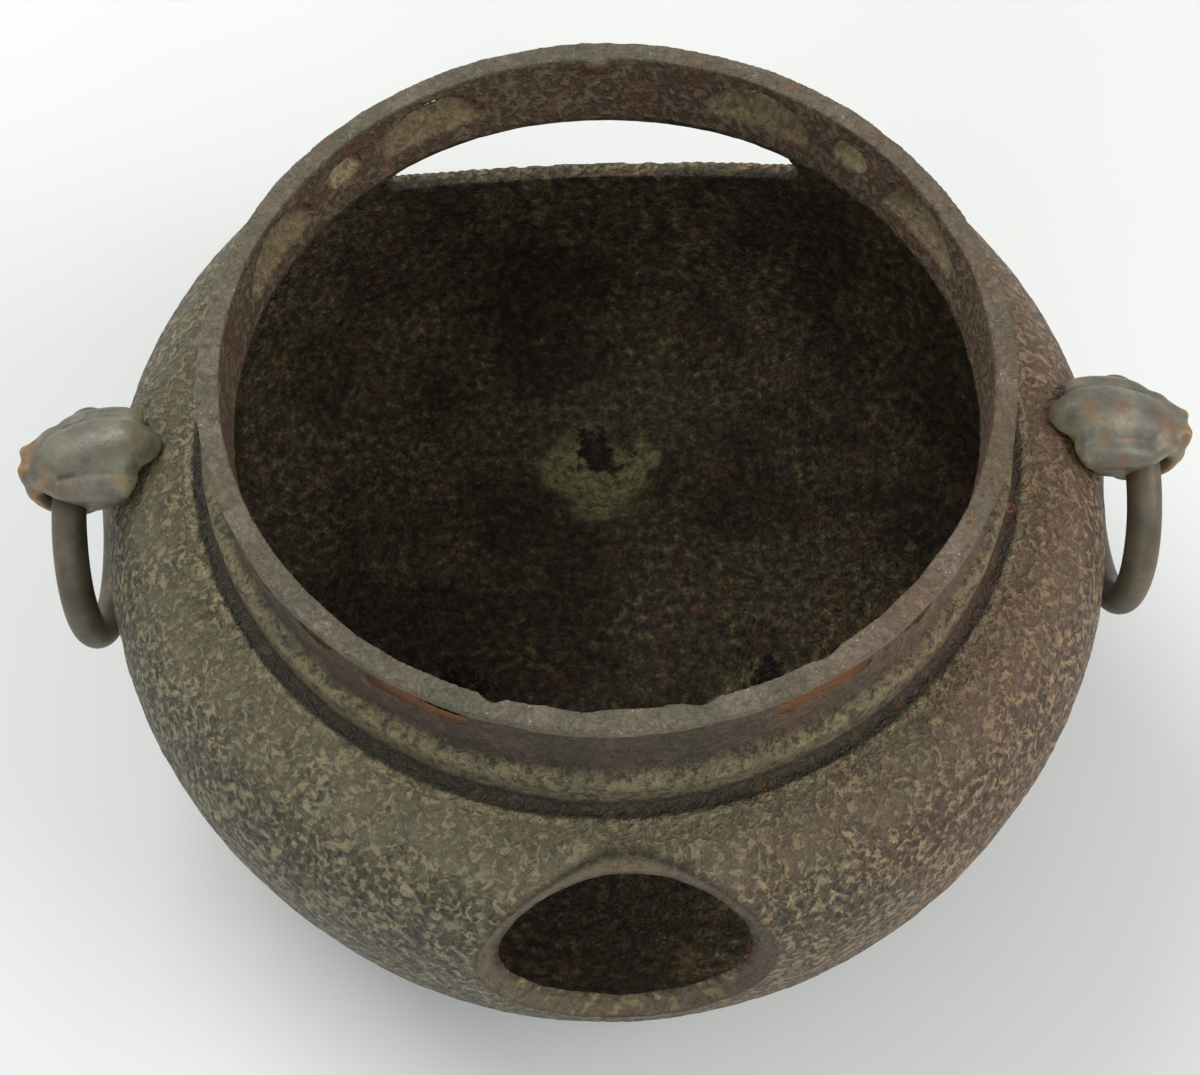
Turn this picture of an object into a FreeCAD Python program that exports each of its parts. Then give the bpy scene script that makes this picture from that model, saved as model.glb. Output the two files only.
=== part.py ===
import FreeCAD, Part
import math
import os

from FreeCAD import Vector

# Furo, a Japanese tea brazier in cast iron: a round bowl on three hollow feet,
# an openwork collar with a flat rim that carries the kettle, a wide fire window
# under the collar at the front (-Y), a smaller draught window at the back (+Y),
# and a beast-head lug with a loose ring on each side (+X and -X).
# All sizes in millimetres, +Z up, origin on the floor under the middle of the bowl.

# Overall sizes
total_height = 225.0
belly_r = 170.5
foot_height = 31.0
equator_height = 125.0
wall = 8.0

# Collar and rim
rim_outer_r = 125.0
collar_inner_r = 117.0
collar_depth = 31.0
rim_lip_height = 4.5
rim_lip_step = 1.5
edge_round = 0.8

# Step band, groove and shoulder crest round the collar's foot
band_top_depth = 29.0
band_r = 129.0
band_round = 5.0
groove_depth = 45.0
groove_r = 130.5
crest_depth = 44.0
crest_r = 134.5
crest_round = 1.6

# Lower belly: a slack arc down the side, then a tighter one into the flat bottom
side_arc_r = 215.0
side_arc_turn = 16.5

# Openwork of the collar: four groups of two half-moons with a small oval between them
slot_groups = 4
slot_group_first = 45.0
moon_offset = 17.0
moon_length = 38.0
moon_height = 15.5
moon_sill_depth = 22.0
moon_peak_shift = 7.0
moon_end_height = 6.5
oval_width = 14.0
oval_height = 9.5
oval_depth = 13.0

# Fire window at the front: an arch and a sagging sill that meet in blunt ends
fire_half_width = 77.0
fire_arch_depth = 58.0
fire_end_depth = 94.0
fire_end_height = 5.0
fire_sill_depth = 117.0

# Draught window at the back, with a wide bevel round its outer edge
draught_half_width = 38.0
draught_half_height = 36.0
draught_depth = 89.0
draught_bevel = 7.0

# Ring
ring_mean_r = 36.0
ring_wire_r = 5.7
ring_belly_gap = 0.3
ring_lift = 85.0

# Beast-head lug, measured from the ring's hinge line in its mouth. The hinge line's
# height is that of the shoulder's curve at this turn above the equator
lug_seat_turn = 42.7
mouth_gap = 0.9
swing_gap = 0.6
snout_wall = 8.0
snout_half_width = 9.5
mouth_flare_inset = 2.8
brow_setback = 12.0
brow_reach = 24.0
brow_half_width = 10.0
brow_rise = 12.0
brow_lift = 9.5
brow_droop = 15.0
cheek_setback = 12.0
cheek_reach = 19.0
cheek_half_width = 5.5
cheek_rise = 10.0
cheek_lift = 6.0
cheek_droop = 12.0
head_half_width = 14.5
head_reach = 14.5
nose_reach = 7.0
nose_half_width = 8.5
nose_rise = 8.0
nose_lift = 4.0
nose_droop = 20.0
nostril_r = 2.2
nostril_rim_r = 1.5
nostril_spread = 4.5
nostril_setback = 3.0
nostril_lift = 7.5
neck_setback = 20.0
neck_reach = 13.0
neck_half_width = 12.5
neck_rise = 13.0
neck_lift = 5.0
seat_gap = 0.3

# Shank that holds the lug, passed through the wall and peened over inside
shank_r = 6.0
shank_rise = 6.0
shank_gap = 0.2
shank_stub = 2.4
peen_r = 9.5
peen_height = 3.5

# Hollow foot
foot_circle_r = 70.0
foot_front_azimuth = 270.0
foot_flange_r = 29.0
foot_flange_height = 4.0
foot_neck_r = 25.0
foot_hollow_curve = 2.5
foot_toe_r = 15.0
foot_toe_round = 6.0
foot_spigot_r = 23.0
foot_spigot_gap = 0.2
foot_pit_r = 19.5
foot_pit_depth = 9.5
foot_pit_flat_r = 10.0
foot_pit_bulge = 2.2

# Cutting bodies run past the casting by this much, and an edge lies on a surface
# when it is nearer to it than this
cut_margin = 5.0
edge_tolerance = 1.0

# Places that follow from the sizes above
crest_height = total_height - crest_depth
shoulder_rise = crest_height - equator_height
shoulder_reach = belly_r - crest_r
hinge_x = belly_r + ring_wire_r + ring_belly_gap
hinge_z = equator_height + shoulder_rise * math.sin(math.radians(lug_seat_turn))
inner_floor = foot_height + wall


def quarter_ellipse(centre_r, centre_z, reach, rise):
    """Quarter of an ellipse in the XZ plane, from its top round to its outermost point."""
    centre = Vector(centre_r, 0, centre_z)
    top = Vector(centre_r, 0, centre_z + rise)
    side = Vector(centre_r + reach, 0, centre_z)
    if rise >= reach:
        curve = Part.Ellipse(top, side, centre)
    else:
        curve = Part.Ellipse(side, top, centre)
    first = curve.parameter(top)
    last = curve.parameter(side)
    if abs(last - first) > math.pi:
        first, last = min(first, last), max(first, last)
        return Part.ArcOfEllipse(curve, last, first + 2 * math.pi).toShape()
    return Part.ArcOfEllipse(curve, min(first, last), max(first, last)).toShape()


def arc_about(centre_r, centre_z, radius, turn_start, turn_end):
    """Arc in the XZ plane about a centre, with turns in degrees above the horizontal."""
    points = []
    for turn in (turn_start, (turn_start + turn_end) / 2, turn_end):
        angle = math.radians(turn)
        points.append(Vector(centre_r + radius * math.cos(angle), 0,
                             centre_z + radius * math.sin(angle)))
    return Part.Arc(*points).toShape()


def line(r1, z1, r2, z2):
    return Part.makeLine(Vector(r1, 0, z1), Vector(r2, 0, z2))


def revolved(edges):
    face = Part.Face(Part.Wire(Part.sortEdges(edges)[0]))
    return face.revolve(Vector(0, 0, 0), Vector(0, 0, 1), 360)


def belly_side(offset):
    """Shoulder and lower belly of the casting, moved inwards by offset."""
    side_r = side_arc_r - offset
    side_centre = belly_r - side_arc_r
    turn = math.radians(side_arc_turn)
    end_r = side_centre + side_r * math.cos(turn)
    end_z = equator_height - side_r * math.sin(turn)
    bottom = foot_height + offset
    corner_r = (end_z - bottom) / (1 - math.sin(turn))
    corner_centre_r = end_r - corner_r * math.cos(turn)
    corner_centre_z = bottom + corner_r
    edges = [quarter_ellipse(crest_r, equator_height, shoulder_reach - offset,
                             shoulder_rise - offset),
             arc_about(side_centre, equator_height, side_r, 0, -side_arc_turn),
             arc_about(corner_centre_r, corner_centre_z, corner_r, -side_arc_turn, -90),
             line(corner_centre_r, bottom, 0, bottom)]
    return edges


def outer_form():
    """Solid bounded by the outside of the casting."""
    top = total_height
    wall_r = rim_outer_r - rim_lip_step
    band_z = top - band_top_depth
    lip_z = top - rim_lip_height
    groove_z = top - groove_depth
    edges = belly_side(0)
    edges += [line(crest_r, crest_height, crest_r - crest_round, crest_height),
              line(crest_r - crest_round, crest_height, groove_r, groove_z),
              line(groove_r, groove_z, band_r, groove_z),
              line(band_r, groove_z, band_r, band_z - band_round),
              arc_about(band_r - band_round, band_z - band_round, band_round, 0, 90),
              line(band_r - band_round, band_z, wall_r, band_z),
              line(wall_r, band_z, wall_r, lip_z - rim_lip_step),
              line(wall_r, lip_z - rim_lip_step, rim_outer_r, lip_z),
              line(rim_outer_r, lip_z, rim_outer_r, top - edge_round),
              arc_about(rim_outer_r - edge_round, top - edge_round, edge_round, 0, 90),
              line(rim_outer_r - edge_round, top, 0, top),
              line(0, top, 0, foot_height)]
    return revolved(edges)


def cavity_form():
    """The space inside: the bowl, its roof that slopes up to the collar, and the mouth."""
    top = total_height
    collar_foot = top - collar_depth
    edges = belly_side(wall)
    edges += [line(crest_r, crest_height - wall, collar_inner_r, collar_foot),
              line(collar_inner_r, collar_foot, collar_inner_r, top + cut_margin),
              line(collar_inner_r, top + cut_margin, 0, top + cut_margin),
              line(0, top + cut_margin, 0, inner_floor)]
    return revolved(edges)


def radial_prism(wire, azimuth):
    """Cutter through the collar wall: an outline in the YZ plane pushed out along X, then turned."""
    reach = rim_outer_r - collar_inner_r + 2 * cut_margin
    prism = Part.Face(wire).extrude(Vector(reach, 0, 0))
    prism.translate(Vector(collar_inner_r - cut_margin, 0, 0))
    prism.rotate(Vector(0, 0, 0), Vector(0, 0, 1), azimuth)
    return prism


def moon_wire(side):
    """Half-moon: a level sill and an arch that peaks on the side of the small oval."""
    sill = total_height - moon_sill_depth
    half = moon_length / 2
    low_near = Vector(0, side * half, sill)
    low_far = Vector(0, -side * half, sill)
    top_far = Vector(0, -side * half, sill + moon_end_height)
    peak = Vector(0, side * moon_peak_shift, sill + moon_height)
    top_near = Vector(0, side * half, sill + moon_end_height)
    return Part.Wire([Part.makeLine(low_near, low_far),
                      Part.makeLine(low_far, top_far),
                      Part.Arc(top_far, peak, top_near).toShape(),
                      Part.makeLine(top_near, low_near)])


def oval_wire():
    centre = total_height - oval_depth
    half = (oval_width - oval_height) / 2
    rise = oval_height / 2
    right_top = Vector(0, half, centre + rise)
    right_low = Vector(0, half, centre - rise)
    left_top = Vector(0, -half, centre + rise)
    left_low = Vector(0, -half, centre - rise)
    return Part.Wire([Part.makeLine(left_low, right_low),
                      Part.Arc(right_low, Vector(0, half + rise, centre), right_top).toShape(),
                      Part.makeLine(right_top, left_top),
                      Part.Arc(left_top, Vector(0, -half - rise, centre), left_low).toShape()])


def openwork():
    cutters = []
    for group in range(slot_groups):
        middle = slot_group_first + group * 360 / slot_groups
        cutters.append(radial_prism(oval_wire(), middle))
        cutters.append(radial_prism(moon_wire(-1), middle + moon_offset))
        cutters.append(radial_prism(moon_wire(1), middle - moon_offset))
    return cutters


def fire_window():
    """Wide lens-shaped window in the shoulder, cut level from the middle of the bowl outwards."""
    arch = total_height - fire_arch_depth
    end_top = total_height - fire_end_depth
    end_low = end_top - fire_end_height
    sill = total_height - fire_sill_depth
    left_low = Vector(-fire_half_width, 0, end_low)
    left_top = Vector(-fire_half_width, 0, end_top)
    right_low = Vector(fire_half_width, 0, end_low)
    right_top = Vector(fire_half_width, 0, end_top)
    wire = Part.Wire([Part.Arc(left_top, Vector(0, 0, arch), right_top).toShape(),
                      Part.makeLine(right_top, right_low),
                      Part.Arc(right_low, Vector(0, 0, sill), left_low).toShape(),
                      Part.makeLine(left_low, left_top)])
    return Part.Face(wire).extrude(Vector(0, -belly_r - cut_margin, 0))


def draught_window():
    """Upright ellipse, cut level from the middle of the bowl outwards."""
    centre = Vector(0, 0, total_height - draught_depth)
    across = centre + Vector(draught_half_width, 0, 0)
    up = centre + Vector(0, 0, draught_half_height)
    if draught_half_width >= draught_half_height:
        curve = Part.Ellipse(across, up, centre)
    else:
        curve = Part.Ellipse(up, across, centre)
    face = Part.Face(Part.Wire([curve.toShape()]))
    return face.extrude(Vector(0, belly_r + cut_margin, 0))


def foot_azimuths():
    return [("foot_front", foot_front_azimuth),
            ("foot_right", foot_front_azimuth + 120),
            ("foot_left", foot_front_azimuth + 240)]


def belly_radius_at(z, offset):
    """Radius of the casting at height z, with its surface moved inwards by offset."""
    if z >= equator_height:
        share = min(1.0, (z - equator_height) / (shoulder_rise - offset))
        return crest_r + (shoulder_reach - offset) * math.sqrt(1 - share * share)
    side_r = side_arc_r - offset
    drop = min(side_r, equator_height - z)
    return belly_r - side_arc_r + math.sqrt(side_r * side_r - drop * drop)


def shank_line(radius):
    """Round bar along X through the shoulder wall, from the peened end into the back of the head."""
    height = hinge_z + shank_rise
    start = belly_radius_at(height, wall) - shank_stub
    end = hinge_x - 2 * ring_wire_r
    return Part.makeCylinder(radius, end - start, Vector(start, 0, height), Vector(1, 0, 0))


def draught_edges(shape):
    """Edges where the draught window meets the casting's outside."""
    found = []
    for edge in shape.Edges:
        box = edge.BoundBox
        widest = max(abs(box.XMin), abs(box.XMax))
        middle = edge.valueAt((edge.FirstParameter + edge.LastParameter) / 2)
        off = math.hypot(middle.x, middle.y) - belly_radius_at(middle.z, 0)
        if middle.y > 0 and widest < draught_half_width + edge_tolerance and abs(off) < edge_tolerance:
            found.append(edge)
    return found


def furo_body():
    body = outer_form().cut(cavity_form())
    body = body.cut(fire_window())
    body = body.cut(draught_window())
    body = body.makeChamfer(draught_bevel, draught_edges(body))
    body = body.cut(openwork())
    holes = []
    for side in (0, 180):
        hole = shank_line(shank_r + shank_gap)
        hole.rotate(Vector(0, 0, 0), Vector(0, 0, 1), side)
        holes.append(hole)
    for name, azimuth in foot_azimuths():
        angle = math.radians(azimuth)
        place = Vector(foot_circle_r * math.cos(angle), foot_circle_r * math.sin(angle),
                       foot_height - cut_margin)
        holes.append(Part.makeCylinder(foot_spigot_r + foot_spigot_gap, wall + 2 * cut_margin, place))
    return body.cut(holes)


def ellipsoid(centre, reach_x, reach_y, reach_z, droop):
    """Egg-shaped lobe, turned about Y so that its outer end hangs down by droop degrees."""
    ball = Part.makeSphere(1.0)
    ball.rotate(Vector(0, 0, 0), Vector(0, 1, 0), 90)
    matrix = FreeCAD.Matrix()
    matrix.scale(reach_x, reach_y, reach_z)
    ball = ball.transformGeometry(matrix)
    ball.rotate(Vector(0, 0, 0), Vector(0, 1, 0), droop)
    ball.translate(centre)
    return ball


def ring_at_rest(extra):
    """Ring hanging in the YZ plane, its wire passing through the hinge line."""
    return Part.makeTorus(ring_mean_r, ring_wire_r + extra,
                          Vector(hinge_x, 0, hinge_z - ring_mean_r), Vector(1, 0, 0))


def swung(shape, angle):
    """Turn a shape about the hinge line, outwards from the bowl."""
    turned = shape.copy()
    turned.rotate(Vector(hinge_x, 0, hinge_z), Vector(0, -1, 0), angle)
    return turned


def ring_sweep():
    """Space that the ring passes through as it lifts from hanging to its limit."""
    axis_point = Vector(hinge_x, 0, hinge_z)
    centre = Vector(hinge_x, 0, hinge_z - ring_mean_r)
    outer = Part.Wire([Part.makeCircle(ring_mean_r + ring_wire_r + swing_gap, centre, Vector(1, 0, 0))])
    inner = Part.Wire([Part.makeCircle(ring_mean_r - ring_wire_r - swing_gap, centre, Vector(1, 0, 0))])
    plate = Part.Face(outer).cut(Part.Face(inner))
    reach = 2 * (ring_mean_r + ring_wire_r + swing_gap + cut_margin)
    below = Part.makePlane(reach, reach, Vector(hinge_x, -reach / 2, hinge_z - reach), Vector(1, 0, 0),
                           Vector(0, 1, 0))
    plate = plate.common(below)
    swept = plate.Faces[0].revolve(axis_point, Vector(0, -1, 0), ring_lift)
    return [swept, ring_at_rest(swing_gap), swung(ring_at_rest(swing_gap), ring_lift)]


def mouth_bore():
    """Waisted hole along Y in which the ring's wire turns."""
    waist_r = ring_wire_r + mouth_gap
    saddle_r = ring_mean_r - waist_r
    half = snout_half_width - mouth_flare_inset
    drop = saddle_r - math.sqrt(saddle_r * saddle_r - half * half)
    left = Vector(hinge_x, -half, hinge_z - waist_r - drop)
    right = Vector(hinge_x, half, hinge_z - waist_r - drop)
    middle = Vector(hinge_x, 0, hinge_z - waist_r)
    wire = Part.Wire([Part.makeLine(Vector(hinge_x, -half, hinge_z), left),
                      Part.Arc(left, middle, right).toShape(),
                      Part.makeLine(right, Vector(hinge_x, half, hinge_z)),
                      Part.makeLine(Vector(hinge_x, half, hinge_z), Vector(hinge_x, -half, hinge_z))])
    return Part.Face(wire).revolve(Vector(hinge_x, 0, hinge_z), Vector(0, 1, 0), 360)


def snout_curl():
    """Snout curled down and back under the ring's wire, closed round it like a hook."""
    inner_r = ring_wire_r
    outer_r = ring_wire_r + mouth_gap + snout_wall
    curl_wire_r = (outer_r - inner_r) / 2
    curl = Part.makeTorus((outer_r + inner_r) / 2, curl_wire_r, Vector(0, 0, 0), Vector(0, 1, 0))
    stretch = FreeCAD.Matrix()
    stretch.scale(1, snout_half_width / curl_wire_r, 1)
    curl = curl.transformGeometry(stretch)
    curl.translate(Vector(hinge_x, 0, hinge_z))
    return curl


def lug():
    """Beast head with its snout curled down round the ring, made on the +X side."""
    x = hinge_x
    z = hinge_z
    brow = ellipsoid(Vector(x - brow_setback, 0, z + brow_lift),
                     brow_reach, brow_half_width, brow_rise, brow_droop)
    nose = ellipsoid(Vector(x + head_reach - nose_reach, 0, z + nose_lift),
                     nose_reach, nose_half_width, nose_rise, nose_droop)
    neck = ellipsoid(Vector(x - neck_setback, 0, z + neck_lift),
                     neck_reach, neck_half_width, neck_rise, 0)
    head = brow.fuse([nose, neck])
    for side in (-1, 1):
        cheek_y = side * (head_half_width - cheek_half_width)
        cheek = ellipsoid(Vector(x - cheek_setback, cheek_y, z + cheek_lift),
                          cheek_reach, cheek_half_width, cheek_rise, cheek_droop)
        nostril_place = Vector(x + head_reach - nostril_setback, side * nostril_spread,
                               z + nostril_lift)
        nostril = Part.makeTorus(nostril_r, nostril_rim_r, nostril_place, Vector(1, side, 1))
        head = head.fuse([cheek, nostril])
    head = head.fuse([snout_curl()])
    head = head.cut(belly_form(-seat_gap))
    head = head.cut([mouth_bore()] + ring_sweep())
    height = z + shank_rise
    peen_end = belly_radius_at(height, wall) - shank_stub - peen_height
    peen = Part.makeCylinder(peen_r, shank_stub + peen_height + 2 * peen_r,
                             Vector(peen_end, 0, height), Vector(1, 0, 0))
    peen = peen.common(belly_form(wall + seat_gap))
    return head.fuse([shank_line(shank_r), peen])


def belly_form(offset):
    """Belly below the crest as a full solid, moved inwards by offset or outwards if it is negative."""
    top = crest_height - offset
    edges = belly_side(offset)
    edges += [line(crest_r, top, 0, top),
              line(0, top, 0, foot_height + offset)]
    return revolved(edges)


def foot():
    """Hollow teat-shaped foot, turned about its own upright axis."""
    top = inner_floor
    under = foot_height - foot_flange_height
    pit_floor = top - foot_pit_depth
    side_middle_r = (foot_neck_r + foot_toe_r) / 2 - foot_hollow_curve
    pit_middle_r = (foot_pit_flat_r + foot_pit_r) / 2 + foot_pit_bulge
    pit_middle_z = (pit_floor + top) / 2 - foot_pit_bulge
    edges = [line(0, 0, foot_toe_r - foot_toe_round, 0),
             arc_about(foot_toe_r - foot_toe_round, foot_toe_round, foot_toe_round, -90, 0),
             Part.Arc(Vector(foot_toe_r, 0, foot_toe_round),
                      Vector(side_middle_r, 0, (under + foot_toe_round) / 2),
                      Vector(foot_neck_r, 0, under)).toShape(),
             line(foot_neck_r, under, foot_flange_r, under),
             line(foot_flange_r, under, foot_flange_r, foot_height),
             line(foot_flange_r, foot_height, foot_spigot_r, foot_height),
             line(foot_spigot_r, foot_height, foot_spigot_r, top),
             line(foot_spigot_r, top, foot_pit_r, top),
             Part.Arc(Vector(foot_pit_r, 0, top), Vector(pit_middle_r, 0, pit_middle_z),
                      Vector(foot_pit_flat_r, 0, pit_floor)).toShape(),
             line(foot_pit_flat_r, pit_floor, 0, pit_floor),
             line(0, pit_floor, 0, 0)]
    return revolved(edges)


if __name__ == "__main__":
    os.makedirs("parts", exist_ok=True)
    furo_body().exportStep("parts/furo_body.step")
    right_lug = lug()
    right_lug.exportStep("parts/lug_right.step")
    left_lug = right_lug.copy()
    left_lug.rotate(Vector(0, 0, 0), Vector(0, 0, 1), 180)
    left_lug.exportStep("parts/lug_left.step")
    right_ring = ring_at_rest(0)
    right_ring.exportStep("parts/ring_right.step")
    left_ring = right_ring.copy()
    left_ring.rotate(Vector(0, 0, 0), Vector(0, 0, 1), 180)
    left_ring.exportStep("parts/ring_left.step")
    for name, azimuth in foot_azimuths():
        leg = foot()
        angle = math.radians(azimuth)
        leg.translate(Vector(foot_circle_r * math.cos(angle), foot_circle_r * math.sin(angle), 0))
        leg.exportStep("parts/" + name + ".step")
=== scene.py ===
import math

import bmesh
import bpy
import numpy as np
from mathutils import Matrix, Vector


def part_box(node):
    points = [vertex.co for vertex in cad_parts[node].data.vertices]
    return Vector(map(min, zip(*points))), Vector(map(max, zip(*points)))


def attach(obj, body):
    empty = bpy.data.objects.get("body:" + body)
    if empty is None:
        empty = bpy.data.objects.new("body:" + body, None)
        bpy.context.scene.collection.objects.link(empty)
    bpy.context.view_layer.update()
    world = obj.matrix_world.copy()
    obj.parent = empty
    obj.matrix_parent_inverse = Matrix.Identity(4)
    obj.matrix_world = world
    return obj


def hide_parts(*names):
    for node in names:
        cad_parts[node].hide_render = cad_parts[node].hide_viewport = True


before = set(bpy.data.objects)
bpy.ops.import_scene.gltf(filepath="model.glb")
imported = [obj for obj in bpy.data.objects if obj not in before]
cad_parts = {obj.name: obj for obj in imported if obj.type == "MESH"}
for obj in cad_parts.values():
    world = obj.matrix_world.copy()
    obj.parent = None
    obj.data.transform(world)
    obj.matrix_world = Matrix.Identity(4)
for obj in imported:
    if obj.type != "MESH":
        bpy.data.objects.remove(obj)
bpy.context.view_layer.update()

scene = bpy.context.scene
mm = 0.001

# Where things are on the casting, in metres: read from the frame, or as its solids have them
bodyLow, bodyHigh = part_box("furo_body")
ringLow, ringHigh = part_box("ring_right")
ringWire = (ringHigh.x - ringLow.x) / 2
form = {
    "top": bodyHigh.z,
    "bottom": bodyLow.z,
    "bellyRadius": bodyHigh.x,
    "equator": 125 * mm,
    "crestRadius": 134.5 * mm,
    "crestDrop": 44 * mm,
    "sideArc": 215 * mm,
    "wall": 8 * mm,
    "collarRadius": 117 * mm,
    "rimRadius": 125 * mm,
    "ringWire": ringWire,
    "ringRadius": (ringHigh.y - ringLow.y) / 2 - ringWire,
    "hingeX": (ringHigh.x + ringLow.x) / 2,
    "hingeZ": ringHigh.z - ringWire,
    "footCircle": 70 * mm,
    "footAzimuths": {"front": 270, "right": 30, "left": 150},
}


# Small helpers for meshes

def newPiece(name, mesh, body, node):
    piece = bpy.data.objects.new(name, mesh)
    scene.collection.objects.link(piece)
    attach(piece, body)
    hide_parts(node)
    return piece


def applyModifiers(piece):
    graph = bpy.context.evaluated_depsgraph_get()
    mesh = bpy.data.meshes.new_from_object(piece.evaluated_get(graph))
    piece.modifiers.clear()
    piece.data = mesh


def voxelSkin(piece, size, smoothing):
    # one closed skin over everything in the mesh, then softened
    remesh = piece.modifiers.new("remesh", "REMESH")
    remesh.mode = "VOXEL"
    remesh.voxel_size = size
    soften = piece.modifiers.new("soften", "SMOOTH")
    soften.factor = 0.5
    soften.iterations = smoothing
    applyModifiers(piece)


def points(mesh):
    flat = np.zeros(len(mesh.vertices) * 3)
    mesh.vertices.foreach_get("co", flat)
    return flat.reshape(-1, 3)


def normals(mesh):
    flat = np.zeros(len(mesh.vertices) * 3)
    mesh.vertex_normals.foreach_get("vector", flat)
    return flat.reshape(-1, 3)


def setPoints(mesh, places):
    mesh.vertices.foreach_set("co", places.astype(np.float32).ravel())
    mesh.update()


def neighbourMean(mesh, values, rounds):
    # each point's values averaged with those of its neighbours, round after round
    ends = np.zeros(len(mesh.edges) * 2, np.int64)
    mesh.edges.foreach_get("vertices", ends)
    a, b = ends.reshape(-1, 2).T
    count = len(mesh.vertices)
    share = np.maximum(np.bincount(a, minlength=count) + np.bincount(b, minlength=count), 1)
    for turn in range(rounds):
        total = [np.bincount(a, values[:, i][b], count) + np.bincount(b, values[:, i][a], count)
                 for i in range(values.shape[1])]
        values = np.stack(total, 1) / share[:, None]
    return values


def addWearAndCreaseShade(mesh, rounds):
    # how far each point stands out of, or lies below, the smoothed surface, in millimetres: the shaders
    # lighten worn edges where it stands out and paint shade where it lies below
    places = points(mesh)
    lift = ((places - neighbourMean(mesh, places, rounds)) * normals(mesh)).sum(1) / mm
    storeValue(mesh, "wear", neighbourMean(mesh, lift[:, None], 1)[:, 0])


def storeValue(mesh, name, values):
    layer = mesh.attributes.new(name, "FLOAT", "POINT")
    layer.data.foreach_set("value", values.astype(np.float32))


def ease(values, low, high):
    # 0 at low and 1 at high, with soft ends; the other way round where low is the larger
    share = np.clip((values - low) / (high - low), 0, 1)
    return share * share * (3 - 2 * share)


def fromTop(z, depths):
    # 0 at the first depth below the top and 1 at the second
    return ease(z, form["top"] - depths[0], form["top"] - depths[1])


def displace(piece, size, depth, middle=1.0, octaves=1):
    # cloudy relief of that size; with the middle at 1 it only presses inwards
    texture = bpy.data.textures.new(piece.name + "Relief", "CLOUDS")
    texture.noise_scale = size
    texture.noise_depth = octaves
    relief = piece.modifiers.new("relief", "DISPLACE")
    relief.texture = texture
    relief.texture_coords = "LOCAL"
    relief.strength = depth
    relief.mid_level = middle
    return relief


def shadeSmooth(mesh):
    mesh.polygons.foreach_set("use_smooth", [True] * len(mesh.polygons))


def joined(name, meshes):
    whole = bmesh.new()
    for mesh in meshes:
        whole.from_mesh(mesh)
    made = bpy.data.meshes.new(name)
    whole.to_mesh(made)
    whole.free()
    return made


# Shader maths: one socket, so that expressions on values add their own nodes

class Shade:
    def __init__(self, tree, socket=None):
        self.tree = tree
        self.socket = socket

    def node(self, kind, settings, inputs, output=0):
        made = self.tree.nodes.new(kind)
        for name, value in settings.items():
            if name == "stops":
                self.setStops(made.color_ramp, value)
            else:
                setattr(made, name, value)
        for name, value in inputs.items():
            if isinstance(value, Shade):
                self.tree.links.new(value.socket, made.inputs[name])
            else:
                made.inputs[name].default_value = value
        return Shade(self.tree, made.outputs[output])

    def setStops(self, ramp, stops):
        while len(ramp.elements) < len(stops):
            ramp.elements.new(0.5)
        for element, (place, colour) in zip(ramp.elements, stops):
            element.position = place
            element.color = colour

    def output(self, name):
        return Shade(self.tree, self.socket.node.outputs[name])

    def maths(self, operation, a, b):
        return self.node("ShaderNodeMath", {"operation": operation}, {0: a, 1: b})

    def __add__(self, other):
        return self.maths("ADD", self, other)

    def __radd__(self, other):
        return self.maths("ADD", other, self)

    def __sub__(self, other):
        return self.maths("SUBTRACT", self, other)

    def __rsub__(self, other):
        return self.maths("SUBTRACT", other, self)

    def __mul__(self, other):
        return self.maths("MULTIPLY", self, other)

    def __rmul__(self, other):
        return self.maths("MULTIPLY", other, self)

    def size(self):
        return self.maths("ABSOLUTE", self, 0)

    def least(self, other):
        return self.maths("MINIMUM", self, other)

    def most(self, other):
        return self.maths("MAXIMUM", self, other)

    def rise(self, low, high):
        # 0 below low, 1 above high, and the other way round where low is the larger
        return self.node("ShaderNodeMapRange", {"interpolation_type": "SMOOTHSTEP"},
                         {"Value": self, "From Min": low, "From Max": high})

    def towards(self, colour, factor):
        # this colour mixed towards another by the factor
        return self.node("ShaderNodeMix", {"data_type": "RGBA"}, {0: factor, 6: self, 7: colour}, 2)

    def between(self, first, second):
        # this value mixes the first colour into the second
        return self.node("ShaderNodeMix", {"data_type": "RGBA"}, {0: self, 6: first, 7: second}, 2)

    def times(self, colour, factor):
        # this colour darkened by another
        return self.node("ShaderNodeMix", {"data_type": "RGBA", "blend_type": "MULTIPLY"},
                         {0: factor, 6: self, 7: colour}, 2)

    def noise(self, scale, detail, roughness):
        return self.node("ShaderNodeTexNoise", {},
                         {"Vector": self, "Scale": scale, "Detail": detail, "Roughness": roughness})

    def cells(self, scale):
        return self.node("ShaderNodeTexVoronoi", {"feature": "F1"}, {"Vector": self, "Scale": scale})

    def ramp(self, stops):
        return self.node("ShaderNodeValToRGB", {"stops": stops}, {0: self})

    def stretched(self, x, y, z):
        return self.node("ShaderNodeVectorMath", {"operation": "MULTIPLY"}, {0: self, 1: (x, y, z)})

    def shifted(self, x, y, z):
        return self.node("ShaderNodeVectorMath", {"operation": "ADD"}, {0: self, 1: (x, y, z)})

    def length(self):
        return self.node("ShaderNodeVectorMath", {"operation": "LENGTH"}, {0: self}, "Value")

    def warped(self, scale, amount):
        # the same place, pushed about by a colour noise
        push = self.node("ShaderNodeTexNoise", {}, {"Vector": self, "Scale": scale, "Detail": 1.0}, 1)
        push = self.node("ShaderNodeVectorMath", {"operation": "SUBTRACT"}, {0: push, 1: (0.5, 0.5, 0.5)})
        push = self.node("ShaderNodeVectorMath", {"operation": "SCALE"}, {0: push, "Scale": amount})
        return self.node("ShaderNodeVectorMath", {"operation": "ADD"}, {0: self, 1: push})


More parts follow.
